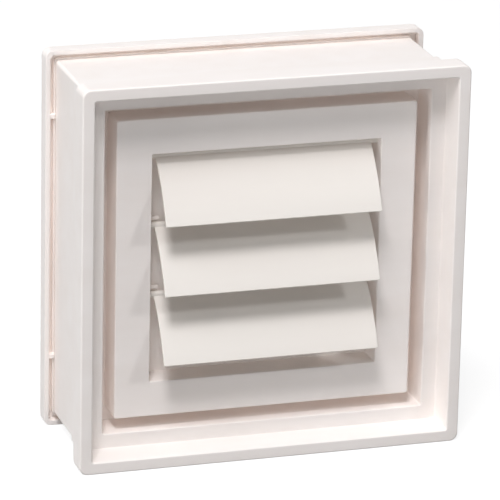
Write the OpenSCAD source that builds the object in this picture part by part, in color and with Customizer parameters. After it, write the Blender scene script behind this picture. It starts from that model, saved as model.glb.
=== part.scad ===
// Louvered dryer vent in the format of an 8 inch glass block, in millimetres.
// X runs to the right, the louvers face -Y and +Z is up.
// Depths are counted from the face of the front rim towards the duct.

/* [Block] */
// Width and height across both flanges
block_size = 196.85; // [160:0.05:300]
// Depth from the rim face to the back of the rear cover
block_depth = 79.375; // [72:0.005:130]
// Corner radius of both flanges
flange_corner = 4; // [3:0.1:8]
// Thickness of the two flange lips
lip_wall = 2.5; // [1.5:0.1:4]
// How deep the mortar channel lies below the flange edges
channel_depth = 5.6; // [4.5:0.1:12]

/* [Front frame] */
// Width of the flat rim
rim_width = 6.1; // [5:0.1:20]
// Rounding of the edges that the hand meets
edge_round = 1; // [0.4:0.1:1.4]
// Thickness of the rim, the step and the well wall
frame_wall = 2; // [1.5:0.1:3.5]
// Depth of the front lip
front_lip_depth = 13.1; // [8:0.1:16]
// Depth of the recess in front of the step
recess_depth = 14.3; // [8:0.1:24]
// How far the recess wall leans in over its depth
recess_draft = 1.7; // [0.5:0.1:4]
// Width of the step round the well
step_width = 7.35; // [5:0.05:15]
// Depth of the well, rim face to well floor
well_depth = 34; // [19:0.1:40]
// Thickness of the skirt that covers the sleeve
skirt_wall = 1.55; // [1:0.05:2.5]
// How far the skirt stands proud of the sleeve
skirt_proud = 0.75; // [0.3:0.05:1.2]
// Depth at which the skirt ends
skirt_depth = 35; // [24:0.1:50]

/* [Sleeve and rear cover] */
// Wall of the sleeve between the flanges
sleeve_wall = 2.5; // [1.5:0.1:4]
// Clearance where the sleeve enters the skirt
sleeve_clearance = 0.1; // [0.05:0.01:0.3]
// Depth of the rear lip in front of the back face
rear_lip_depth = 8.9; // [6:0.1:14]
// Depth of the groove between that lip and the sleeve
groove_depth = 2.8; // [1.5:0.1:4.5]
// Thickness of the rear cover plate
cover_wall = 3.6; // [2:0.1:5]
// Height of each clip tab in the rear groove
tab_height = 2.6; // [1.5:0.1:6]
// Height of the clip tabs above and below their own middle
tab_offset = 63; // [30:0.5:70]
// How far that middle lies above the middle of the block
tab_rise = 1.3; // [0:0.1:4]
// How far the tabs lie behind the front of the lip
tab_recess = 1.2; // [0:0.1:3]
// Depth of the rib that centres the rear cover in the sleeve
rib_depth = 5; // [3:0.1:10]

/* [Louver box] */
// Gap between the box and the well wall
well_gap = 6.55; // [4:0.05:14]
// Depth of the box face behind the rim face
face_depth = 16.9; // [4:0.1:22]
// Width of the face round the opening
face_border = 18; // [12:0.1:30]
// Wall thickness of the louver box
box_wall = 2; // [1.5:0.1:3]

/* [Louvers] */
// Thickness of each louver blade
blade_wall = 1.5; // [1:0.1:2.5]
// Radius of the bow of each blade
blade_bow = 90; // [60:1:400]
// Angle that the louvers stand open, from vertical
open_angle = 35.5; // [15:0.5:60]
// How far a closed blade covers the pivot below it
blade_overlap = 1; // [0.5:0.1:3]
// Gap between a blade end and the wall of the opening
blade_end_gap = 3.4; // [1.5:0.1:6]
// Radius of the pivot rod along the top of each blade
pivot_radius = 1.6; // [1.2:0.1:2.2]
// Running clearance of a pivot in its bore
pivot_clearance = 0.08; // [0.05:0.01:0.1]
// Depth of the pivots behind the face of the box
pivot_setback = 7.8; // [5:0.1:12]
// Distance from the top of the opening down to the first pivot
pivot_drop = 2.9; // [2.5:0.1:6]
// Room left under the bottom louver
sill_gap = 7.1; // [3:0.1:15]
// Length of the stop fins behind each rod
fin_reach = 5; // [3:0.1:8]
// Width of the stop fins
fin_width = 3.3; // [2:0.1:6]
// Radius of the pegs that the fins rest against
peg_radius = 1.2; // [0.8:0.1:2]
// Room behind the fins, up to the plate of the collar
chamber_gap = 2.3; // [1:0.1:20]

/* [Duct collar] */
// Outer diameter of the collar, for a 4 inch duct
duct_diameter = 100.6; // [80:0.1:110]
// Wall of the collar
duct_wall = 1.8; // [1.2:0.1:4]
// Length of the collar behind the rear cover
duct_reach = 25.4; // [15:0.1:60]
// Thickness of the plate that carries the collar
plate_wall = 2; // [1.5:0.1:4]
// How far that plate reaches past the walls of the opening
plate_rim = 3; // [1:0.1:10]
// Step from the collar out to the shoulder that the duct stops at
shoulder_step = 1.5; // [1:0.1:4]
// Clearance of the shoulder in the rear cover
duct_clearance = 0.3; // [0.1:0.05:0.6]

/* [Hidden] */
$fn = 48;

fine = 120;
over = 1;
block_half = block_size / 2;
total_depth = block_depth + duct_reach;

// Half widths, from the flange edge in to the opening
recess_front = block_half - rim_width;
recess_back = recess_front - recess_draft;
well_half = recess_back - step_width;
box_half = well_half - well_gap;
opening_half = box_half - face_border;

// Half widths of the sleeve and what holds it
sleeve_half = block_half - channel_depth;
skirt_half = sleeve_half + skirt_proud;
skirt_inner = skirt_half - skirt_wall;
spigot_half = skirt_inner - sleeve_clearance;
sleeve_inner = sleeve_half - sleeve_wall;

// Depths
step_back = recess_depth + frame_wall;
cover_front = block_depth - cover_wall;
groove_floor = block_depth - rear_lip_depth + groove_depth;
ledge_back = well_depth + box_wall;
pivot_depth = face_depth + pivot_setback;
chamber_back = pivot_depth + fin_reach + chamber_gap;

// Louvers: three blades share what the opening leaves
blade_half = opening_half - blade_end_gap;
pivot_pitch = (2 * opening_half - pivot_drop - sill_gap) / 3;
blade_chord = pivot_pitch + blade_overlap;
pivot_top = opening_half - pivot_drop;
pin_half = opening_half + box_wall - 0.2;
bore_radius = pivot_radius + pivot_clearance;
blade_swing = 2 * asin(blade_chord / (2 * blade_bow));
blade_sagitta = blade_bow * (1 - cos(blade_swing / 2));

// At rest each fin lies just under its peg
stop_gap = 0.3;
fin_inner = blade_half - fin_width;
peg_rise = blade_wall / 2 + stop_gap + peg_radius;
peg_setback = fin_reach - peg_radius;

// Collar, and the shoulder that passes through the rear cover
duct_radius = duct_diameter / 2;
duct_bore = duct_radius - duct_wall;
shoulder_radius = duct_radius + shoulder_step;

// Puts a shape drawn along +Z on the depth axis of the vent
module inward(depth = 0) {
    translate([0, depth - total_depth / 2, block_half])
        rotate([-90, 0, 0])
            children();
}

// Square with sharp corners, given by its half width
module square_2d(half) {
    square([2 * half, 2 * half], center = true);
}

// Square with round corners, given by its half width
module round_square_2d(half, radius) {
    square([2 * (half - radius), 2 * half], center = true);
    square([2 * half, 2 * (half - radius)], center = true);
    for (x = [-1, 1], y = [-1, 1])
        translate([x * (half - radius), y * (half - radius)])
            circle(radius);
}

// Square ring between two half widths, from one depth to another
module square_ring(outer, inner, from, to) {
    translate([0, 0, from])
        linear_extrude(to - from)
            difference() {
                square_2d(outer);
                square_2d(inner);
            }
}

// Sweeps a profile round a square with round corners.
// The profile's x runs out from the corner axis and its y is the depth.
module sweep_square(half, radius) {
    reach = half - radius;
    for (k = [0 : 3])
        rotate([0, 0, 90 * k]) {
            translate([reach, 0, 0])
                rotate([90, 0, 0])
                    linear_extrude(2 * reach, center = true)
                        children();
            translate([reach, reach, 0])
                rotate_extrude(angle = 90)
                    children();
        }
}

// Hook profile of a flange: the edge of the plate and the lip behind it
module flange_profile(radius, plate, lip) {
    difference() {
        union() {
            square([radius, plate]);
            translate([radius - lip_wall, 0])
                square([lip_wall, lip]);
        }
        // round the outer edge
        difference() {
            translate([radius - edge_round, -over])
                square([edge_round + over, edge_round + over]);
            translate([radius - edge_round, edge_round])
                circle(edge_round);
        }
    }
}

// Space in front of the step: a leaning wall with a rounded mouth
module recess_profile() {
    polygon([
        [-recess_front, 0],
        [-recess_back, recess_depth],
        [recess_back, recess_depth],
        [recess_front, 0],
        [recess_front, -over],
        [-recess_front, -over]
    ]);
}

// The mouth rounding of the recess, as the material it takes away
module mouth_profile() {
    half = recess_front;
    difference() {
        translate([-half - edge_round, -over])
            square([2 * (half + edge_round), edge_round + over]);
        for (x = [-1, 1])
            translate([x * (half + edge_round), edge_round])
                circle(edge_round);
    }
}

// Common part of one profile swept along both directions
module cross_cut() {
    intersection() {
        rotate([90, 0, 0])
            linear_extrude(4 * block_half, center = true)
                children();
        rotate([90, 0, 90])
            linear_extrude(4 * block_half, center = true)
                children();
    }
}

module front_frame() {
    color("white")
        inward()
            difference() {
                union() {
                    // rim with its lip
                    sweep_square(block_half, flange_corner)
                        flange_profile(flange_corner, frame_wall + 1, front_lip_depth);
                    linear_extrude(frame_wall + 1)
                        square_2d(block_half - flange_corner);
                    // recess wall, with the skirt behind it
                    linear_extrude(step_back)
                        square_2d(skirt_half);
                    square_ring(skirt_half, skirt_inner, step_back, skirt_depth);
                    // wall of the well
                    square_ring(well_half + frame_wall, well_half, step_back, well_depth);
                }
                cross_cut()
                    recess_profile();
                cross_cut()
                    mouth_profile();
                translate([0, 0, recess_depth - over])
                    linear_extrude(frame_wall + 2 * over)
                        square_2d(well_half);
            }
}

module sleeve() {
    color("whitesmoke")
        inward()
            difference() {
                union() {
                    translate([0, 0, skirt_depth + 0.2])
                        linear_extrude(groove_floor - skirt_depth - 0.2)
                            square_2d(sleeve_half);
                    translate([0, 0, step_back])
                        linear_extrude(skirt_depth + 0.2 - step_back)
                            square_2d(spigot_half);
                }
                translate([0, 0, step_back - over])
                    linear_extrude(groove_floor - step_back + 2 * over)
                        square_2d(sleeve_inner);
            }
}

module rear_cover() {
    groove = block_half - lip_wall - sleeve_half;
    tab_front = block_depth - rear_lip_depth + tab_recess;
    color("white")
        inward()
            difference() {
                union() {
                    // lip and edge of the plate, turned to face the front
                    translate([0, 0, block_depth])
                        mirror([0, 0, 1])
                            sweep_square(block_half, flange_corner)
                                flange_profile(flange_corner, cover_wall, rear_lip_depth);
                    translate([0, 0, cover_front])
                        linear_extrude(cover_wall)
                            square_2d(block_half - flange_corner);
                    // ledge that the sleeve stands on, also the floor of the groove
                    square_ring(block_half - lip_wall / 2,
                                sleeve_inner - sleeve_clearance - box_wall / 2,
                                groove_floor, cover_front + cover_wall / 4);
                    // rib that centres the cover in the sleeve
                    square_ring(sleeve_inner - sleeve_clearance,
                                sleeve_inner - sleeve_clearance - box_wall,
                                cover_front - rib_depth, cover_front);
                    // clip tabs across the groove, two on each side
                    for (x = [-1, 1], z = [-1, 1])
                        translate([x * (sleeve_half + groove / 2),
                                   z * tab_offset - tab_rise,
                                   (tab_front + cover_front) / 2])
                            cube([groove, tab_height, cover_front - tab_front], center = true);
                }
                translate([0, 0, cover_front - over])
                    cylinder(h = cover_wall + 2 * over, r = shoulder_radius + duct_clearance, $fn = fine);
            }
}

// The two pegs over the stop fins of one louver
module stop_pegs(height) {
    for (x = [-1, 1])
        translate([x * (fin_inner + opening_half + 1) / 2, -height - peg_rise,
                   pivot_depth + peg_setback])
            rotate([0, 90, 0])
                cylinder(h = opening_half + 1 - fin_inner, r = peg_radius, center = true);
}

module louver_box() {
    color("white")
        inward()
            difference() {
                union() {
                    // face, outer wall and the ledge that carries the box
                    square_ring(box_half, opening_half, face_depth, face_depth + box_wall);
                    square_ring(box_half, box_half - box_wall, face_depth, ledge_back);
                    square_ring(well_half + frame_wall, box_half - box_wall, well_depth, ledge_back);
                    // walls of the opening
                    square_ring(opening_half + box_wall, opening_half, face_depth, chamber_back);
                    for (k = [0 : 2])
                        stop_pegs(pivot_top - k * pivot_pitch);
                }
                for (k = [0 : 2])
                    translate([0, -(pivot_top - k * pivot_pitch), pivot_depth])
                        rotate([0, 90, 0])
                            cylinder(h = 2 * (opening_half + box_wall + 0.5), r = bore_radius,
                                     center = true);
            }
}

module duct_collar() {
    color("whitesmoke")
        inward()
            difference() {
                union() {
                    translate([0, 0, chamber_back])
                        linear_extrude(plate_wall)
                            round_square_2d(opening_half + box_wall + plate_rim, flange_corner);
                    translate([0, 0, chamber_back])
                        cylinder(h = total_depth - chamber_back, r = duct_radius, $fn = fine);
                    translate([0, 0, chamber_back])
                        cylinder(h = block_depth - chamber_back, r = shoulder_radius, $fn = fine);
                }
                translate([0, 0, chamber_back - over])
                    cylinder(h = total_depth - chamber_back + 2 * over, r = duct_bore, $fn = fine);
            }
}

// Section of a blade hanging from its pivot at the origin, bowed towards -X
module blade_section() {
    mid = blade_chord / 2;
    drop = sqrt(blade_bow * blade_bow - mid * mid);
    intersection() {
        difference() {
            translate([drop, -mid])
                circle(blade_bow + blade_wall / 2, $fn = 360);
            translate([drop, -mid])
                circle(blade_bow - blade_wall / 2, $fn = 360);
        }
        translate([-blade_bow / 2, -blade_chord])
            square([blade_bow / 2 + pivot_radius, blade_chord]);
    }
}

// One louver with its rod, end pins and stop fins, pivot at the given height
module louver(height) {
    inward(pivot_depth)
        translate([0, -height, 0])
            rotate([180, 0, 0])
                rotate([0, 90, 0]) {
                    linear_extrude(2 * blade_half, center = true)
                        rotate(-open_angle)
                            blade_section();
                    cylinder(h = 2 * pin_half, r = pivot_radius, center = true);
                    for (x = [-1, 1])
                        translate([0, 0, x * (blade_half - fin_width / 2)])
                            linear_extrude(fin_width, center = true)
                                translate([0, -blade_wall / 2])
                                    square([fin_reach, blade_wall]);
                }
}

module louver_top() {
    color("ivory")
        louver(pivot_top);
}

module louver_middle() {
    color("ivory")
        louver(pivot_top - pivot_pitch);
}

module louver_bottom() {
    color("ivory")
        louver(pivot_top - 2 * pivot_pitch);
}

front_frame();
sleeve();
rear_cover();
louver_box();
duct_collar();
louver_top();
louver_middle();
louver_bottom();
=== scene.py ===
# %% [markdown]
# A louvered dryer vent in white moulded plastic, built the way a maker of moulds
# would think of it: each moulding is one closed wall that goes round a square.
# The CAD model is loaded first and stays as it is. Every new piece below is laid
# exactly over one of its solids and then stands for that solid.

# %% Load the fixed CAD frame
import bpy, bmesh, math
from mathutils import Matrix, Vector


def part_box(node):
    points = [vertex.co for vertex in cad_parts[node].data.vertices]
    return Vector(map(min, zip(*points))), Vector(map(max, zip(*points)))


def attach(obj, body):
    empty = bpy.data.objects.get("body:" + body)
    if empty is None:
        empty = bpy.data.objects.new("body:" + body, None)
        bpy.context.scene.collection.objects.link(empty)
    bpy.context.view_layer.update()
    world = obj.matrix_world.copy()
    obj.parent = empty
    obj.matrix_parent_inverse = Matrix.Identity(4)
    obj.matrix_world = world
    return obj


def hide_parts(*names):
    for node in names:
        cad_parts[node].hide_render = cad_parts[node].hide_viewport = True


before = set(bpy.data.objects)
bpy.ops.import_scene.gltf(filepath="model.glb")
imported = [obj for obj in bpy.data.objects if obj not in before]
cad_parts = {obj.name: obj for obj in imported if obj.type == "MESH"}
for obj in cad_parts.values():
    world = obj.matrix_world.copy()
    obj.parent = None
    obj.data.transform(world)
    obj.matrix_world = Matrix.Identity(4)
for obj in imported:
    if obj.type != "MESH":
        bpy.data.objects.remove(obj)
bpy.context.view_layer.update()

# %% [markdown]
# Places on the vent are easiest to think of as depths behind the rim face and as
# half widths from its middle. The rim face and the middle are read from the CAD
# box, so a later change there moves every piece here with it. Sizes are in
# millimetres, and are divided by 1000 where Blender wants metres.

# %% Depths and half widths, in millimetres
low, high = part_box("front_frame")
RIM_Y = low[1]
MIDDLE_Z = (low[2] + high[2]) / 2
BLOCK = (high[0] - low[0]) * 500


def at(depth):
    """Depth behind the rim face in mm, as Y in metres."""
    return RIM_Y + depth / 1000


RECESS_FRONT, RECESS_BACK = BLOCK - 6.1, BLOCK - 7.8
WELL = RECESS_BACK - 7.35
BOX = WELL - 6.55
OPENING = BOX - 18
SLEEVE = BLOCK - 5.6
SKIRT = SLEEVE + 0.75
STEP, STEP_BACK, WELL_FLOOR, SKIRT_END = 14.3, 16.3, 34.0, 35.0
BOX_FACE, CHAMBER_BACK, LEDGE_BACK = 16.9, 32.0, 36.0
LIP_FRONT, GROOVE_FLOOR, COVER_FRONT, COVER_BACK = 70.475, 73.275, 75.775, 79.375
COLLAR_END = 104.775
WALL, SLIP = 2, 0.1                    # most walls, and the play where pieces fit
FLANGE_CORNER, LIP_WALL = 4.0, 2.5     # the same on both flanges
print("half widths:", [round(v, 2) for v in (BLOCK, RECESS_FRONT, WELL, BOX, OPENING)])

# %% [markdown]
# The camera stands to the left and above, nearly two metres away with a long
# lens. A long lens keeps the two flanges almost parallel, as the photograph
# shows them. A camera could be aimed with a constraint, but here its three turns
# are known: it rolls about its line of sight, pitches down and swings round.

# %% Camera
YAW, PITCH, ROLL = 0.307660, 0.325452, 0.021987                # radians
LOOK_AT = Vector((-0.013518, at(0), MIDDLE_Z + 0.011972))
CAMERA_AWAY = 1.949118                                         # metres from LOOK_AT
SENSOR_MM, IMAGE_PIXELS, FOCAL_PIXELS = 36, 500, 3999.106
turn = (Matrix.Rotation(-YAW, 4, "Z") @ Matrix.Rotation(math.pi / 2 - PITCH, 4, "X")
        @ Matrix.Rotation(ROLL, 4, "Z"))
camera_data = bpy.data.cameras.new("photo_camera")
camera_data.sensor_width = SENSOR_MM
camera_data.lens = FOCAL_PIXELS / IMAGE_PIXELS * SENSOR_MM
camera = bpy.data.objects.new("photo_camera", camera_data)
bpy.context.collection.objects.link(camera)
camera.matrix_world = Matrix.Translation(LOOK_AT + turn @ Vector((0, 0, CAMERA_AWAY))) @ turn
bpy.context.scene.camera = camera
print("camera at", [round(v, 3) for v in camera.location])

# %% [markdown]
# Operators act on whatever is selected, and the loader leaves the CAD selected.
# So each step first clears the selection and then picks what it needs by place.
# A list of face numbers would do as well, until a size changes and the numbers
# point elsewhere.

# %% Selecting by place


def clear_selection():
    """Leave edit mode and select nothing."""
    if bpy.context.mode != "OBJECT":
        bpy.ops.object.mode_set(mode="OBJECT")
    bpy.ops.object.select_all(action="DESELECT")


def begin_piece(name):
    """Name the new primitive, put its place in its mesh and open edit mode."""
    piece = bpy.context.object
    piece.name = piece.data.name = name
    bpy.ops.object.transform_apply(location=True, rotation=True, scale=True)
    bpy.ops.object.mode_set(mode="EDIT")
    return piece


def pick(piece, wanted, mode="VERT"):
    """Select the vertices, edges or faces that pass a test, and count them."""
    bpy.ops.mesh.select_mode(type=mode)
    bpy.ops.mesh.select_all(action="DESELECT")
    mesh = bmesh.from_edit_mesh(piece.data)
    items = {"VERT": mesh.verts, "EDGE": mesh.edges, "FACE": mesh.faces}[mode]
    count = 0
    for item in items:
        if wanted(item):
            item.select_set(True)
            count += 1
    mesh.select_flush_mode()
    bmesh.update_edit_mesh(piece.data)
    return count


clear_selection()
print("selected now:", len(bpy.context.selected_objects), "objects")

# %% [markdown]
# Modifiers could stay live to the end, but the next step needs real faces to pick
# from, so each one is applied at once. Moulded plastic shades smoothly over its
# round edges while its walls look flat. Normals weighted by the size of the faces
# give just that: the large flat wall wins over the narrow round edge beside it.

# %% Finishing
SMOOTH_BELOW = math.radians(32)        # an edge that turns by less is part of a curve


def use_modifier(piece, kind, **settings):
    """Add a modifier with its settings and apply it at once."""
    modifier = piece.modifiers.new(kind.lower(), kind)
    for key, value in settings.items():
        setattr(modifier, key, value)
    bpy.ops.object.select_all(action="DESELECT")
    piece.select_set(True)
    bpy.context.view_layer.objects.active = piece
    bpy.ops.object.modifier_apply(modifier=modifier.name)


def combine(piece, tool, operation):
    """Join a tool to the piece or cut it away, and remove the tool."""
    use_modifier(piece, "BOOLEAN", operation=operation, solver="EXACT", object=tool)
    bpy.data.objects.remove(tool)


def smooth_moulding(piece):
    """Round edges shade smoothly, flat walls stay flat."""
    clear_selection()
    piece.select_set(True)
    bpy.context.view_layer.objects.active = piece
    bpy.ops.object.shade_smooth_by_angle(angle=SMOOTH_BELOW)
    use_modifier(piece, "WEIGHTED_NORMAL", keep_sharp=True)
    print(piece.name, "has", len(piece.data.vertices), "vertices")


# %% [markdown]
# A thin-walled square moulding is a section that goes once round a square. It
# could be cut from a block, but then each wall and step needs its own cut. Here
# the section is walked instead: a square loop with round corners is extruded
# from one point of the section to the next, and the last loop closes on the
# first. Each corner is scaled about its own centre, so its radius can change.

# %% Walking a section round the square
MERGE_WITHIN = 1e-6                    # metres between two points that are one
TINY = 1e-9                            # metres; what is left of a sum by rounding


def rounded_square(name, half, radius, depth, corner_steps):
    """A flat square with round corners, open in edit mode with all of it selected."""
    clear_selection()
    bpy.ops.mesh.primitive_plane_add(size=2 * half / 1000, rotation=(math.pi / 2, 0, 0),
                                     location=(0, at(depth), MIDDLE_Z))
    piece = begin_piece(name)
    bpy.ops.mesh.select_all(action="SELECT")
    bpy.ops.mesh.bevel(offset=radius / 1000, segments=corner_steps, affect="VERTICES")
    bpy.ops.mesh.select_all(action="SELECT")
    return piece


def extrude_back(distance):
    """Extrude what is selected along the depth, in mm, away from the street."""
    bpy.ops.mesh.extrude_region_move(TRANSFORM_OT_translate={"value": (0, distance / 1000, 0)})


def reshape_corners(piece, ring, before, after):
    """Scale each corner of a loop about its own centre, then move it out or in."""
    half, radius, _ = before
    new_half, new_radius, new_depth = after
    centre = (half - radius) / 1000
    shift = (new_half - new_radius) / 1000 - centre
    grow = new_radius / radius
    for sx in (-1, 1):
        for sz in (-1, 1):
            pick(piece, lambda v: v.index in ring and v.co.x * sx > 0
                 and (v.co.z - MIDDLE_Z) * sz > 0)
            if new_radius != radius:
                bpy.ops.transform.resize(
                    value=(grow, 1, grow),
                    center_override=(sx * centre, at(new_depth), MIDDLE_Z + sz * centre))
            if abs(shift) > TINY:
                bpy.ops.transform.translate(value=(sx * shift, 0, sz * shift))


def walk_moulding(name, section):
    """section lists (half width, corner radius, depth) in mm, once round the wall."""
    piece = rounded_square(name, *section[0], corner_steps=5)
    bpy.ops.mesh.delete(type="ONLY_FACE")
    bpy.ops.mesh.select_all(action="SELECT")
    for before, after in zip(section, section[1:] + section[:1]):
        extrude_back(after[2] - before[2])
        mesh = bmesh.from_edit_mesh(piece.data)
        ring = {v.index for v in mesh.verts if v.select}
        reshape_corners(piece, ring, before, after)
        pick(piece, lambda v: v.index in ring)
    bpy.ops.mesh.select_all(action="SELECT")
    bpy.ops.mesh.remove_doubles(threshold=MERGE_WITHIN)
    bpy.ops.mesh.normals_make_consistent(inside=False)
    print(name, "walked in", len(section), "steps")
    return piece


# %% [markdown]
# Each edge of a moulding has a small radius, wide where a hand meets it and
# narrow inside. A bevel modifier would round all edges alike. So the edges of one
# loop are found by the same three numbers that walked it, and get their own width.

# %% Rounding the edges of a loop
NEAR = 2e-6                            # metres within which a point lies on a loop


def on_loop(point, half, radius, depth):
    """True where a point lies on one loop of the section."""
    if abs(point.y - at(depth)) > NEAR:
        return False
    centre = (half - radius) / 1000
    qx = max(abs(point.x) - centre, 0)
    qz = max(abs(point.z - MIDDLE_Z) - centre, 0)
    return abs(math.hypot(qx, qz) - radius / 1000) < NEAR


def round_loops(piece, loops, width, steps=3):
    """Bevel the edges that run along the named loops, width in mm."""
    picked = pick(piece, lambda e: any(all(on_loop(v.co, *loop) for v in e.verts)
                                       for loop in loops), "EDGE")
    bpy.ops.mesh.bevel(offset=width / 1000, segments=steps, affect="EDGES")
    print(" ", picked, "edges of", piece.name, "rounded by", width, "mm")


# %% [markdown]
# The front frame is the piece that faces the street. Its rim is flat and about
# 6 mm wide. Behind it the wall leans in a little, so that the moulding leaves its
# mould, down to a step, and a second wall goes down to the floor of the well.
# Outside, a lip hangs back from the rim, with an open groove between lip and
# skirt. All of that is one section of fourteen points, so it is walked in one go.

# %% Front frame
LIP_END, GROOVE_FRONT, SKIRT_WALL = 13.1, 3, 1.55
skirt_inside = SKIRT - SKIRT_WALL
rim_outer = (BLOCK, FLANGE_CORNER, 0)
rim_inner = (RECESS_FRONT, 1.2, 0)
recess_foot = (RECESS_BACK, 0.8, STEP)
step_edge = (WELL, 0.9, STEP)
well_end = (WELL, 0.9, WELL_FLOOR)
skirt_end = (SKIRT, 1.2, SKIRT_END)
lip_inside = (BLOCK - LIP_WALL, 1.6, LIP_END)
lip_outside = (BLOCK, FLANGE_CORNER, LIP_END)
front_frame = walk_moulding("front_frame_moulding", [
    rim_outer, rim_inner, recess_foot, step_edge, well_end,
    (WELL + WALL, 1.5, WELL_FLOOR), (WELL + WALL, 1.5, STEP_BACK),
    (skirt_inside, 0.8, STEP_BACK), (skirt_inside, 0.8, SKIRT_END), skirt_end,
    (SKIRT, 1.2, GROOVE_FRONT), (BLOCK - LIP_WALL, 1.6, GROOVE_FRONT),
    lip_inside, lip_outside])
round_loops(front_frame, [rim_outer], width=1.0, steps=4)
round_loops(front_frame, [rim_inner], width=0.7)
round_loops(front_frame, [step_edge], width=0.8)
round_loops(front_frame, [recess_foot, skirt_end, lip_outside, lip_inside],
            width=0.35, steps=2)
smooth_moulding(front_frame)

# %% [markdown]
# The sleeve is the square tube between the flanges. Its front end is a little
# smaller and slips inside the skirt, which leaves the thin shadow line there. A
# scaled cube would need both ends opened and a wall put in, so it is walked too.

# %% Sleeve
SLEEVE_WALL, SHADOW_GAP = 2.5, 0.2
sleeve_front, sleeve_inside = SKIRT_END + SHADOW_GAP, SLEEVE - SLEEVE_WALL
spigot = skirt_inside - SLIP
sleeve = walk_moulding("sleeve_moulding", [
    (SLEEVE, 1.8, sleeve_front), (SLEEVE, 1.8, GROOVE_FLOOR),
    (sleeve_inside, 0.8, GROOVE_FLOOR), (sleeve_inside, 0.8, STEP_BACK),
    (spigot, 0.7, STEP_BACK), (spigot, 0.7, sleeve_front)])
smooth_moulding(sleeve)

# %% [markdown]
# Three louvers share the height of the opening. The top rod hangs just under the
# upper edge, and the last blade ends above the lower one. Pins at the ends of each
# rod turn in the side walls, and a peg on each wall stops the fin beside it. All
# these places follow from the opening, so the box and the louvers share them.

# %% Where the louvers turn
LOUVER_COUNT, TOP_DROP, BOTTOM_RISE, ROD_BEHIND_FACE = 3, 2.9, 7.1, 7.8
END_GAP, FIN_WIDTH, PIN_REACH = 3.4, 3.3, 1.8
# from here on in metres
PIVOT_Y = at(BOX_FACE + ROD_BEHIND_FACE)
PITCH_Z = (2 * OPENING - TOP_DROP - BOTTOM_RISE) / (LOUVER_COUNT * 1000)
PIVOT_Z = [MIDDLE_Z + (OPENING - TOP_DROP) / 1000 - k * PITCH_Z for k in range(LOUVER_COUNT)]
ROD, ROD_BORE = 1.6 / 1000, 1.68 / 1000
PEG, PEG_BEHIND, PEG_ABOVE = 1.2 / 1000, 3.8 / 1000, 2.25 / 1000
BLADE_HALF = (OPENING - END_GAP) / 1000
FIN_INNER = BLADE_HALF - FIN_WIDTH / 1000
PIN_END = (OPENING + PIN_REACH) / 1000
PEG_ROOT, BORE_END = (OPENING + 1) / 1000, (OPENING + 2.5) / 1000
print("louver pitch:", round(PITCH_Z * 1000, 2), "mm")

# %% [markdown]
# The louver box stands up out of the recess and holds the louvers in its square
# opening. It is again one wall that goes round: face, opening, back edge, ledge and
# side. Its outer edge is rounded a little more than the edge of the opening.

# %% Louver box
face_edge = (BOX, 1.2, BOX_FACE)
opening_edge = (OPENING, 0.6, BOX_FACE)
louver_box = walk_moulding("louver_box_moulding", [
    face_edge, opening_edge, (OPENING, 0.6, CHAMBER_BACK),
    (OPENING + WALL, 0.8, CHAMBER_BACK), (OPENING + WALL, 0.8, BOX_FACE + WALL),
    (BOX - WALL, 0.8, BOX_FACE + WALL), (BOX - WALL, 0.8, LEDGE_BACK),
    (WELL + WALL, 1.5, LEDGE_BACK), (WELL + WALL, 1.5, WELL_FLOOR), (BOX, 1.2, WELL_FLOOR)])
round_loops(louver_box, [face_edge], width=0.7)
round_loops(louver_box, [opening_edge], width=0.6)

# %% [markdown]
# The pins' bores and the pegs are round, and the wall is flat. Faces could be
# built round each hole by hand. A boolean does that for us, as a drill would, and
# it joins on the pegs in the same way.

# %% Bores and pegs of the louver box


def rod_tool(name, radius, start, end, y, z, vertices=32):
    """A round bar along X, to cut with or to join on."""
    clear_selection()
    bpy.ops.mesh.primitive_cylinder_add(vertices=vertices, radius=radius, depth=end - start,
                                        rotation=(0, math.pi / 2, 0),
                                        location=((start + end) / 2, y, z))
    tool = begin_piece(name)
    bpy.ops.object.mode_set(mode="OBJECT")
    return tool


clear_selection()
for z in PIVOT_Z:
    for side in (-1, 1):
        start, end = sorted((side * FIN_INNER, side * PEG_ROOT))
        peg = rod_tool("peg", PEG, start, end, PIVOT_Y + PEG_BEHIND, z + PEG_ABOVE, vertices=20)
        combine(louver_box, peg, "UNION")
    bore = rod_tool("bore", ROD_BORE, -BORE_END, BORE_END, PIVOT_Y, z)
    combine(louver_box, bore, "DIFFERENCE")
smooth_moulding(louver_box)

# %% [markdown]
# The two pieces at the back start from a flat plate with a round hole in it. The
# plate is one extrusion of a square with round corners, and the hole is bored.
# A bore leaves a sharp rim, so the edges at that radius and depth are bevelled.

# %% Plates and round bores
CIRCLE_STEPS = 128
BEYOND = 2                             # mm that a boring tool runs past what it cuts
RIM_ROUND, RIM_NEAR = 0.5, 5e-5        # mm of bevel, and metres from the true circle


def rounded_plate(name, half, radius, back, front):
    """A square plate with round corners, its back and front at two depths."""
    piece = rounded_square(name, half, radius, back, corner_steps=6)
    extrude_back(front - back)
    bpy.ops.mesh.select_all(action="SELECT")
    bpy.ops.mesh.normals_make_consistent(inside=False)
    return piece


def pick_flat(piece, depth, beyond=-1):
    """Faces at one depth whose middles lie beyond a half width; -1 takes them all."""
    def wanted(face):
        centre = face.calc_center_median()
        reach = max(abs(centre.x), abs(centre.z - MIDDLE_Z)) * 1000
        return abs(centre.y - at(depth)) < NEAR and reach > beyond
    pick(piece, wanted, "FACE")


def bore_tool(radius, front, back):
    """A round bar along the depth, to bore with."""
    clear_selection()
    bpy.ops.mesh.primitive_cylinder_add(vertices=CIRCLE_STEPS, radius=radius / 1000,
                                        depth=(back - front) / 1000,
                                        rotation=(math.pi / 2, 0, 0),
                                        location=(0, at((front + back) / 2), MIDDLE_Z))
    tool = begin_piece("bore")
    bpy.ops.object.mode_set(mode="OBJECT")
    return tool


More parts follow.
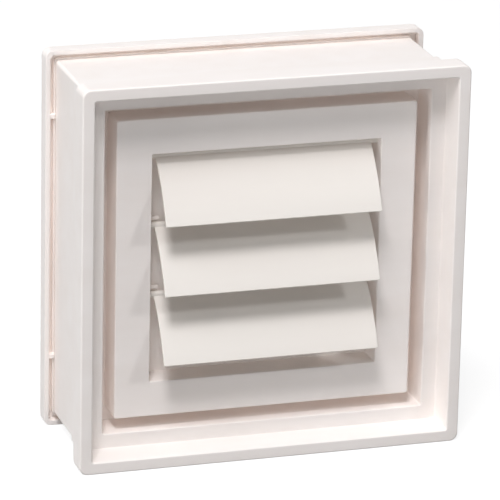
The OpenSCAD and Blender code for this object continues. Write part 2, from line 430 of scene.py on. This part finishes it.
def round_rim(piece, radius, depth):
    """Bevel the round edge that a bore or a turned wall left at one depth."""
    def on_rim(edge):
        return all(abs(v.co.y - at(depth)) < NEAR and
                   abs(math.hypot(v.co.x, v.co.z - MIDDLE_Z) - radius / 1000) < RIM_NEAR
                   for v in edge.verts)
    bpy.context.view_layer.objects.active = piece
    bpy.ops.object.mode_set(mode="EDIT")
    picked = pick(piece, on_rim, "EDGE")
    bpy.ops.mesh.bevel(offset=RIM_ROUND / 1000, segments=3, affect="EDGES")
    bpy.ops.object.mode_set(mode="OBJECT")
    print(" ", picked, "rim edges of", piece.name, "rounded")


# %% [markdown]
# The rear cover is a flat plate with a lip standing up along its edge. A plate
# like that is made the way it is drawn: the face is inset by the lip's width and
# the border is extruded.

# %% Rear cover: plate and lip
rear_cover = rounded_plate("rear_cover_moulding", BLOCK, FLANGE_CORNER,
                           COVER_BACK, COVER_FRONT)
pick_flat(rear_cover, COVER_FRONT)
bpy.ops.mesh.inset(thickness=LIP_WALL / 1000)
pick_flat(rear_cover, COVER_FRONT, BLOCK - LIP_WALL)
extrude_back(LIP_FRONT - COVER_FRONT)
round_loops(rear_cover, [(BLOCK, FLANGE_CORNER, COVER_BACK)], width=1.0, steps=4)
round_loops(rear_cover, [(BLOCK, FLANGE_CORNER, LIP_FRONT),
                         (BLOCK - LIP_WALL, FLANGE_CORNER - LIP_WALL, LIP_FRONT)],
            width=0.4, steps=2)

# %% [markdown]
# The sleeve ends on a ledge inside the lip. Between ledge and lip a slot stays
# open, and it draws the thin dark line there. A rib just inside the sleeve's end
# centres it. Both go once round, so they are walked and joined on. Their roots end
# at two depths in the plate, because a boolean is at its worst where faces coincide.

# %% Rear cover: ledge and rib
rib_outer, rib_front = SLEEVE - SLEEVE_WALL - SLIP, COVER_FRONT - 5
ledge_outer, ledge_inner = SLEEVE + 0.8, rib_outer - 1
ledge_root, rib_root = COVER_FRONT + 0.9, COVER_FRONT + 0.5
ledge = walk_moulding("ledge", [
    (ledge_outer, 2.6, GROOVE_FLOOR), (ledge_inner, 0.7, GROOVE_FLOOR),
    (ledge_inner, 0.7, ledge_root), (ledge_outer, 2.6, ledge_root)])
clear_selection()
combine(rear_cover, ledge, "UNION")
rib = walk_moulding("rib", [
    (rib_outer, 0.8, rib_front), (rib_outer - WALL, 0.6, rib_front),
    (rib_outer - WALL, 0.6, rib_root), (rib_outer, 0.8, rib_root)])
clear_selection()
combine(rear_cover, rib, "UNION")
print("rear cover has its ledge and rib")

# %% [markdown]
# Two small clip tabs stand in the groove on each side. Each is a block whose
# front edges are rounded, sunk a little into the plate and joined on. Last comes
# the hole that the collar's shoulder passes through.

# %% Rear cover: clip tabs and bore
TAB, TAB_ROUND = (3.4, 4.3, 2.6), 0.5      # along X, Y and Z, and its rounding
TAB_HEIGHTS = (64.3, -61.7)                # over and under the middle
TAB_DEPTH = COVER_FRONT - 1.95
TAB_AWAY = SLEEVE + TAB[0] / 2 + 0.02      # a hair clear of the sleeve
COVER_BORE = 52.1
for side in (-1, 1):
    for height in TAB_HEIGHTS:
        clear_selection()
        bpy.ops.mesh.primitive_cube_add(
            size=1, scale=[edge / 1000 for edge in TAB],
            location=(side * TAB_AWAY / 1000, at(TAB_DEPTH), MIDDLE_Z + height / 1000))
        tab = begin_piece("clip_tab")
        pick(tab, lambda e: all(v.co.y < at(TAB_DEPTH) for v in e.verts), "EDGE")
        bpy.ops.mesh.bevel(offset=TAB_ROUND / 1000, segments=3, affect="EDGES")
        bpy.ops.object.mode_set(mode="OBJECT")
        combine(rear_cover, tab, "UNION")
combine(rear_cover, bore_tool(COVER_BORE, COVER_FRONT - BEYOND, COVER_BACK + BEYOND),
        "DIFFERENCE")
round_rim(rear_cover, COVER_BORE, COVER_BACK)
smooth_moulding(rear_cover)

# %% [markdown]
# The collar is a tube that a 4 inch duct is pushed over. It stands on a square
# plate that closes the back of the louver box, and a shoulder stops the duct at
# the face of the rear cover. Two cylinders would meet at that shoulder in an inner
# face that has to go again. So it is one circle, extruded along the depth and
# scaled from the larger radius to the smaller, as if it were turned.

# %% Duct collar
COLLAR, COLLAR_WALL, SHOULDER = 50.3, 1.8, 51.8
PLATE, PLATE_CORNER = OPENING + 5, 4.0
collar = rounded_plate("duct_collar_moulding", PLATE, PLATE_CORNER,
                       CHAMBER_BACK + WALL, CHAMBER_BACK)
clear_selection()
bpy.ops.mesh.primitive_circle_add(vertices=CIRCLE_STEPS, radius=SHOULDER / 1000,
                                  fill_type="NGON", rotation=(math.pi / 2, 0, 0),
                                  location=(0, at(CHAMBER_BACK), MIDDLE_Z))
tube = begin_piece("collar_tube")
bpy.ops.mesh.select_all(action="SELECT")
for advance, scale in ((COVER_BACK - CHAMBER_BACK, 1), (0, COLLAR / SHOULDER),
                       (COLLAR_END - COVER_BACK, 1)):
    extrude_back(advance)
    bpy.ops.transform.resize(value=(scale, 1, scale), center_override=(0, 0, MIDDLE_Z))
bpy.ops.mesh.select_all(action="SELECT")
bpy.ops.mesh.normals_make_consistent(inside=False)
bpy.ops.object.mode_set(mode="OBJECT")
combine(collar, tube, "UNION")
combine(collar, bore_tool(COLLAR - COLLAR_WALL, CHAMBER_BACK - BEYOND, COLLAR_END + BEYOND),
        "DIFFERENCE")
round_rim(collar, COLLAR, COLLAR_END)
round_rim(collar, COLLAR - COLLAR_WALL, COLLAR_END)
smooth_moulding(collar)

# %% [markdown]
# Each louver is a bowed blade that hangs from a round rod, and the rod's ends
# are the pins it turns on. The blade hangs ajar, and its bow is part of a large
# circle. Its chord is a millimetre longer than the pitch, so that a closed blade
# covers the rod below.

# %% Lean, bow and swing of a blade
OPEN = math.radians(35.5)              # from upright, as the photograph shows them
BOW, BLADE = 90 / 1000, 1.5 / 1000     # radius of the bow, thickness of the blade
CHORD = PITCH_Z + 1 / 1000
SWING = 2 * math.asin(CHORD / (2 * BOW))
SPIN_STEPS = 16
FIN_END = PIVOT_Y + 5 / 1000
print("the bow turns by", round(math.degrees(SWING), 1), "degrees")

# %% [markdown]
# A blade could be a bent plate that is joined to a cylinder. Grown out of the rod
# it needs no joint: the rod is extruded in five stretches, so that the blade can
# start short of the pins, and the faces that look along the blade are spun about
# the centre of the bow. Two faces at the back are pulled out into the stop fins.

# %% Rod, blade and fins


def start_rod(name, pivot_z):
    """A rod along X in five stretches: pin, end, middle, end, pin."""
    clear_selection()
    bpy.ops.mesh.primitive_circle_add(vertices=48, radius=ROD, fill_type="NGON",
                                      rotation=(0, math.pi / 2, 0),
                                      location=(-PIN_END, PIVOT_Y, pivot_z))
    louver = begin_piece(name)
    bpy.ops.mesh.select_all(action="SELECT")
    stops = [-PIN_END, -BLADE_HALF, -FIN_INNER, FIN_INNER, BLADE_HALF, PIN_END]
    for start, end in zip(stops, stops[1:]):
        bpy.ops.mesh.extrude_region_move(TRANSFORM_OT_translate={"value": (end - start, 0, 0)})
    bpy.ops.mesh.select_all(action="SELECT")
    bpy.ops.mesh.normals_make_consistent(inside=False)
    return louver


def spin_blade(louver, pivot_z):
    """Draw the blade out of the rod, where the rod is as wide as the blade is thick."""
    lean = OPEN + SWING / 2
    tangent = Vector((0, -math.sin(lean), -math.cos(lean)))
    pick(louver, lambda f: abs(f.calc_center_median().x) < BLADE_HALF
         and f.normal.dot(tangent) > math.cos(math.asin(BLADE / (2 * ROD))), "FACE")
    drop = math.sqrt(BOW ** 2 - CHORD ** 2 / 4)
    centre = Vector((0, PIVOT_Y + drop * math.cos(OPEN) - CHORD / 2 * math.sin(OPEN),
                     pivot_z - drop * math.sin(OPEN) - CHORD / 2 * math.cos(OPEN)))
    inside_rod = 0.8 * ROD / BOW           # the first part of the bow
    bpy.ops.mesh.spin(steps=SPIN_STEPS, angle=SWING - inside_rod, center=centre,
                      axis=(-1, 0, 0))


def pull_fins(louver, pivot_z):
    """Pull the faces at the back of the rod, near each end, out to one plane."""
    def back_of_rod(face):
        centre = face.calc_center_median()
        return (FIN_INNER < abs(centre.x) < BLADE_HALF and centre.y > PIVOT_Y
                and abs(centre.z - pivot_z) < BLADE / 2 and abs(face.normal.x) < 0.1)
    pick(louver, back_of_rod, "FACE")
    extrude_back(3)        # any length will do: the next line flattens them at FIN_END
    bpy.ops.transform.resize(value=(1, 0, 1), center_override=(0, FIN_END, pivot_z))


print("fins end", round((FIN_END - PIVOT_Y) * 1000, 1), "mm behind the rod's centre")

# %% [markdown]
# The spin leaves each end of the blade as a strip of coplanar faces. Bevelled as
# they are, the edges between them would be cut too, and the end would shade
# black. So each end is first dissolved into one face, and then only its rim is
# rounded.

# %% Louvers
BLADE_ROUND, CLEAR = 0.45 / 1000, 1e-5      # metres: the rounding, and off the rod


def round_blade_ends(louver, pivot_z):
    """Make each end of the blade one face and round its rim, clear of the rod."""
    def flat_end(face):
        centre = face.calc_center_median()
        return (abs(face.normal.x) > 0.9 and centre.y < PIVOT_Y
                and abs(abs(centre.x) - BLADE_HALF) < NEAR)

    def on_rim(edge):
        return (sum(flat_end(face) for face in edge.link_faces) == 1
                and all(math.hypot(v.co.y - PIVOT_Y, v.co.z - pivot_z) > ROD + CLEAR
                        for v in edge.verts))
    pick(louver, flat_end, "FACE")
    bpy.ops.mesh.dissolve_faces()
    pick(louver, on_rim, "EDGE")
    bpy.ops.mesh.bevel(offset=BLADE_ROUND, segments=3, affect="EDGES")


def make_louver(name, pivot_z):
    louver = start_rod(name, pivot_z)
    spin_blade(louver, pivot_z)
    pull_fins(louver, pivot_z)
    round_blade_ends(louver, pivot_z)
    smooth_moulding(louver)
    return louver


louvers = [make_louver(name, z) for name, z in
           zip(("louver_top_blade", "louver_middle_blade", "louver_bottom_blade"), PIVOT_Z)]

# %% [markdown]
# A material is a tree of nodes, and its colours are easiest to read as hex values.
# Those are sRGB, and a shader works in linear light, so one function turns them.
# Another adds a node with its settings, its links and its plain input values.

# %% Colours and nodes


def linear(hex_colour):
    """sRGB hex to the linear colour that a shader works in."""
    values = [int(hex_colour[i:i + 2], 16) / 255 for i in (1, 3, 5)]
    return [v / 12.92 if v <= 0.04045 else ((v + 0.055) / 1.055) ** 2.4 for v in values] + [1]


def add_node(material, kind, settings=None, links=None, **inputs):
    """Add a node: its settings, its linked inputs, and its plain input values."""
    node = material.node_tree.nodes.new(kind)
    for key, value in (settings or {}).items():
        setattr(node, key, value)
    for key, value in inputs.items():
        node.inputs[key.replace("_", " ")].default_value = value
    for key, socket in (links or {}).items():
        material.node_tree.links.new(socket, node.inputs[key])
    return node


def bare_tree(thing):
    """Switch a material or world to nodes and empty its tree."""
    thing.use_nodes = True
    thing.node_tree.nodes.clear()
    return thing


print("half grey is", round(linear("#808080")[0], 3), "in linear light")

# %% [markdown]
# White vinyl is never pure white. It is a warm grey white, so light that bounces
# from wall to wall grows warmer in the corners. One flat colour looks like paper,
# so this one has faint flow marks in its colour, gloss that varies over a few
# millimetres and a very fine grain, the skin of a satin mould. All sizes are in
# real millimetres, because Object coordinates are in metres.

# %% Injection moulded vinyl with a satin skin
FLOW_MARK, GLOSS_PATCH, GRAIN = 14, 5, 0.9      # mm across
GRAIN_DEPTH, GRAIN_STRENGTH = 0.00003, 0.25     # metres, and how much of it shows
SATIN = (0.40, 0.52)                            # roughness, from glossier to duller
VINYL_IOR = 1.5
NOISE_LOW, NOISE_HIGH = 0.3, 0.7                # nearly all of the noise lies between


def blotches(material, place, size_mm, stretch=(1, 1, 1), detail=3.0):
    """Soft blotches about size_mm wide, drawn out where stretch is above 1."""
    spread = add_node(material, "ShaderNodeMapping", links={"Vector": place},
                      Scale=[1000 / (size_mm * s) for s in stretch])
    return add_node(material, "ShaderNodeTexNoise", links={"Vector": spread.outputs[0]},
                    Scale=1.0, Detail=detail, Roughness=0.55).outputs["Fac"]


def moulded_plastic(name, light_tone, dark_tone, stretch=(1, 1, 1)):
    """Satin plastic between two tones; stretch draws its flow marks out along X."""
    material = bare_tree(bpy.data.materials.new(name))
    place = add_node(material, "ShaderNodeTexCoord").outputs["Object"]
    marks = add_node(material, "ShaderNodeMapRange", From_Min=NOISE_LOW, From_Max=NOISE_HIGH,
                     links={"Value": blotches(material, place, FLOW_MARK, stretch)}).outputs[0]
    colour = add_node(material, "ShaderNodeMix", {"data_type": "RGBA"})
    for socket in colour.inputs:
        if socket.type == "RGBA" and socket.name in ("A", "B"):
            socket.default_value = linear(dark_tone if socket.name == "A" else light_tone)
    material.node_tree.links.new(marks, colour.inputs["Factor"])
    shine = add_node(material, "ShaderNodeMapRange", From_Min=NOISE_LOW, From_Max=NOISE_HIGH,
                     To_Min=SATIN[0], To_Max=SATIN[1],
                     links={"Value": blotches(material, place, GLOSS_PATCH)}).outputs[0]
    grain = add_node(material, "ShaderNodeBump", Strength=GRAIN_STRENGTH, Distance=GRAIN_DEPTH,
                     links={"Height": blotches(material, place, GRAIN, detail=2.0)})
    tint = [o for o in colour.outputs if o.type == "RGBA"][0]
    skin = add_node(material, "ShaderNodeBsdfPrincipled", IOR=VINYL_IOR,
                    links={"Base Color": tint, "Roughness": shine, "Normal": grain.outputs[0]})
    add_node(material, "ShaderNodeOutputMaterial", links={"Surface": skin.outputs[0]})
    print("plastic:", name)
    return material


# %% [markdown]
# The flanges, the box and the sleeve are one white. The louvers are thinner and a
# shade greyer. Plastic flows along a wide thin blade, so their marks are drawn out
# the most, and those of the sleeve not at all.

# %% The three vinyls
FRAME_TONES, LOUVER_TONES = ("#f8f3f0", "#f5efeb"), ("#ebe7e1", "#e9e4de")
frame_vinyl = moulded_plastic("white_vinyl_satin_frame", *FRAME_TONES, stretch=(6, 1, 1))
sleeve_vinyl = moulded_plastic("white_vinyl_satin_sleeve", *FRAME_TONES)
louver_vinyl = moulded_plastic("white_vinyl_satin_louver", *LOUVER_TONES, stretch=(8, 1, 1))

# %% [markdown]
# Each new piece stands for one CAD solid, takes its plastic and rides on its body.
# The louvers ride on bodies of their own, so that they swing with the CAD's
# hinges, and everything else is fixed to the vent. The solids get the plastic too.

# %% Dressing and riding
PARTS = [(front_frame, "front_frame", "vent", frame_vinyl),
         (sleeve, "sleeve", "vent", sleeve_vinyl),
         (rear_cover, "rear_cover", "vent", sleeve_vinyl),
         (louver_box, "louver_box", "vent", frame_vinyl),
         (collar, "duct_collar", "vent", sleeve_vinyl),
         (louvers[0], "louver_top", "flap_top", louver_vinyl),
         (louvers[1], "louver_middle", "flap_middle", louver_vinyl),
         (louvers[2], "louver_bottom", "flap_bottom", louver_vinyl)]


def dress(piece, material):
    piece.data.materials.clear()
    piece.data.materials.append(material)


for piece, node, body, vinyl in PARTS:
    dress(piece, vinyl)
    dress(bpy.data.objects[node], vinyl)
    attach(piece, body)
    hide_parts(node)
    print(piece.name, "stands for", node, "and rides on", body)

# %% [markdown]
# The vent stands on paper. Seen by the camera, also by mirror, the paper and the
# air around it are as white as a page, and the paper keeps a faint shadow. For all
# other rays the paper is a mid grey and the air is nearly dark, because the deep
# gaps of the photograph let little light in from below and from the front. Brighter
# lamps would whiten the page as well, but they would bleach the vent with it.

# %% One look for the eye, another for the light


def seen_directly(material):
    """1 for rays that carry the picture, also by mirror or through glass, 0 for the rest."""
    ray = add_node(material, "ShaderNodeLightPath").outputs
    plain = add_node(material, "ShaderNodeMath", {"operation": "MAXIMUM"},
                     {0: ray["Is Camera Ray"], 1: ray["Is Glossy Ray"]})
    return add_node(material, "ShaderNodeMath", {"operation": "MAXIMUM"},
                    {0: plain.outputs[0], 1: ray["Is Transmission Ray"]}).outputs[0]


def finish_surroundings(material, output, for_light, for_eye):
    """Join the two looks by ray and send them to the output node."""
    either = add_node(material, "ShaderNodeMixShader",
                      links={0: seen_directly(material), 1: for_light.outputs[0],
                             2: for_eye.outputs[0]})
    add_node(material, output, links={"Surface": either.outputs[0]})
    print("surroundings:", material.name)


# %% [markdown]
# The floor is one large plane of matt paper. To the eye it is mostly white light of
# its own, plus a share of plain diffuse white on which the vent's shadow can fall.

# %% Paper floor
FLOOR_EDGE = 8                         # metres
PAGE_GLOW = 0.84                       # the white that no shadow takes away
PAGE_SHADED = (0.3, 0.3, 0.3, 1)       # the white that a shadow does take away
PAPER_GREY = (0.33, 0.33, 0.33, 1)     # what the vent gets back from below
WHITE = (1, 1, 1, 1)
clear_selection()
bpy.ops.mesh.primitive_plane_add(size=FLOOR_EDGE, location=(0, 0, 0))
floor = begin_piece("paper_floor")
bpy.ops.object.mode_set(mode="OBJECT")
paper = bare_tree(bpy.data.materials.new("white_paper_matt"))
glow = add_node(paper, "ShaderNodeEmission", Color=WHITE, Strength=PAGE_GLOW)
shaded = add_node(paper, "ShaderNodeBsdfDiffuse", Color=PAGE_SHADED)
page = add_node(paper, "ShaderNodeAddShader", links={0: glow.outputs[0], 1: shaded.outputs[0]})
sheet = add_node(paper, "ShaderNodeBsdfDiffuse", Color=PAPER_GREY)
finish_surroundings(paper, "ShaderNodeOutputMaterial", for_light=sheet, for_eye=page)
dress(floor, paper)

# %% [markdown]
# The air around the vent is the world's background, and it has the same two looks.

# %% Air around the vent
AIR_LIGHT = 0.02
world = bare_tree(bpy.data.worlds.new("studio"))
bpy.context.scene.world = world
around = add_node(world, "ShaderNodeBackground", Color=WHITE, Strength=AIR_LIGHT)
white = add_node(world, "ShaderNodeBackground", Color=WHITE, Strength=1.0)
finish_surroundings(world, "ShaderNodeOutputWorld", for_light=around, for_eye=white)

# %% [markdown]
# The shadows in the photograph tell where the lamps stood. The rim throws a soft
# shadow over the top of the box, so the key stands high in front and a little to
# the left, and a broader lamp above it softens it. In the gaps under the louvers
# lies a second, paler shadow, which a small fill on the right draws. A weak lamp in
# front, two on the left and one behind light the walls that face those ways. All are
# square area lamps, since a point lamp would draw hard edges. A ready-made sky would
# be quicker, but its one soft light has no such two steps.

# %% Lamps
MIDDLE = Vector((0, 0, MIDDLE_Z))
LAMP_AWAY = 2.6                        # metres from the middle of the vent


def soft_lamp(name, turn_deg, rise_deg, size, watts, colour=(1, 1, 1)):
    """A square soft box that looks at the vent, placed by its angles from the front."""
    turn_r, rise_r = math.radians(turn_deg), math.radians(rise_deg)
    way = Vector((math.sin(turn_r) * math.cos(rise_r), -math.cos(turn_r) * math.cos(rise_r),
                  math.sin(rise_r)))
    data = bpy.data.lights.new(name, "AREA")
    data.shape, data.size, data.energy, data.color = "SQUARE", size, watts, colour
    lamp = bpy.data.objects.new(name, data)
    bpy.context.collection.objects.link(lamp)
    lamp.location = MIDDLE + way * LAMP_AWAY
    lamp.rotation_euler = (-way).to_track_quat("-Z", "Y").to_euler()


soft_lamp("key", turn_deg=-28, rise_deg=59, size=0.6, watts=37, colour=(1, 0.97, 0.98))
soft_lamp("high", turn_deg=-30, rise_deg=73, size=0.9, watts=12, colour=(0.94, 0.98, 1))
soft_lamp("fill", turn_deg=44, rise_deg=33, size=0.25, watts=11)
soft_lamp("front", turn_deg=-22, rise_deg=8, size=1.0, watts=7)
soft_lamp("over_the_left", turn_deg=-80, rise_deg=55, size=1.0, watts=12)
soft_lamp("low_left", turn_deg=-80, rise_deg=8, size=1.0, watts=20)
soft_lamp("behind", turn_deg=-150, rise_deg=35, size=1.0, watts=3)

# %% [markdown]
# White walls that face each other pass light to and fro many times before it is
# spent, so more bounces are allowed than usual. The plain view transform shows
# each colour as it is written.

# %% Bounces and view
scene = bpy.context.scene
scene.view_settings.view_transform = "Standard"
scene.cycles.max_bounces = 24
scene.cycles.diffuse_bounces = 20
print("diffuse bounces:", scene.cycles.diffuse_bounces)
